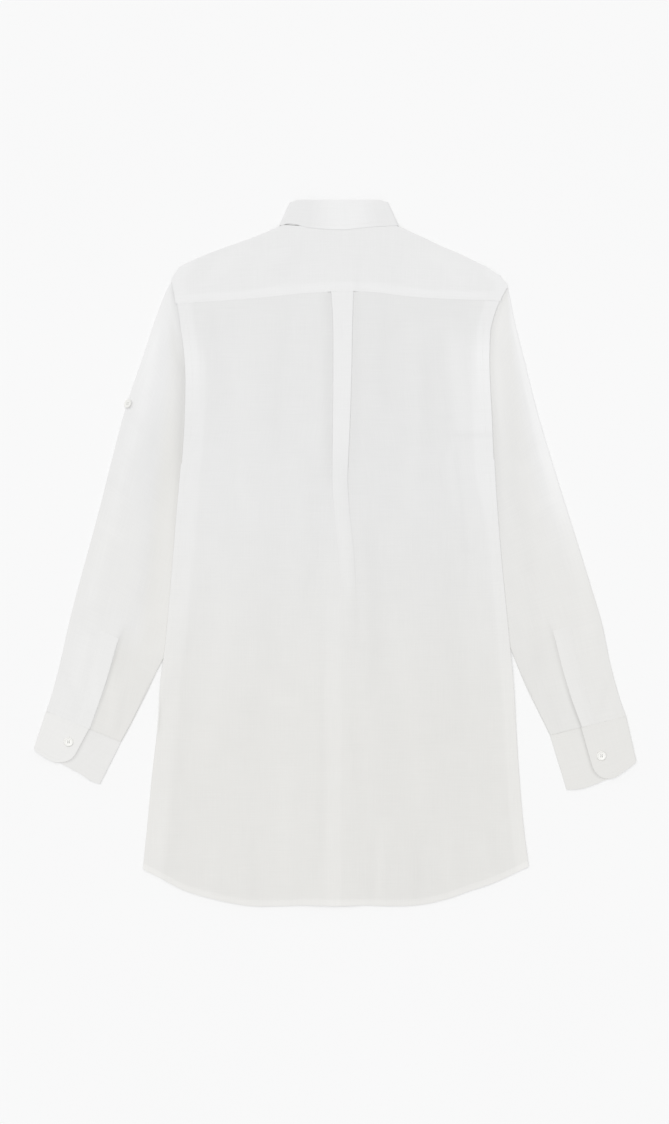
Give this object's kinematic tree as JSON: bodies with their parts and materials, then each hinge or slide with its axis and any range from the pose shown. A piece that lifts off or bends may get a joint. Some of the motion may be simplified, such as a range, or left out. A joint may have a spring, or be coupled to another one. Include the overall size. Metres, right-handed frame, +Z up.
{
  "type": "shirt dress",
  "caption": "Long white linen shirt dress laid flat, back up: collar, yoke, box pleat, long sleeves with buttoned cuffs, curved shirt-tail hem.",
  "frame": {"origin": "centre of the bounding box, on the surface that the shirt lies on", "axes": "+X to the right as seen from above, +Y towards the collar, +Z up, away from the surface"},
  "size_m": [0.7517, 0.8843, 0.0092],
  "materials": {
    "cloth": "matte plain-weave linen, slightly sheer",
    "doubled_cloth": "matte plain-weave linen, two layers",
    "button": "pearly satin"
  },
  "bodies": {
    "root": {"back": "cloth", "yoke": "doubled_cloth", "front_left": "cloth", "front_right": "cloth", "front_band_over": "doubled_cloth", "front_band_under": "doubled_cloth", "collar_leaf": "doubled_cloth", "collar_stand": "doubled_cloth", "sleeve_left": "cloth", "sleeve_right": "cloth", "placket_left": "doubled_cloth", "placket_right": "doubled_cloth", "cuff_left": "doubled_cloth", "cuff_right": "doubled_cloth", "front_button_1": "button", "front_button_2": "button", "front_button_3": "button", "front_button_4": "button", "front_button_5": "button", "front_button_6": "button", "front_button_7": "button", "front_button_8": "button", "collar_button": "button", "cuff_button_left": "button", "cuff_button_right": "button", "tab_button_left": "button"}
  },
  "joints": []
}
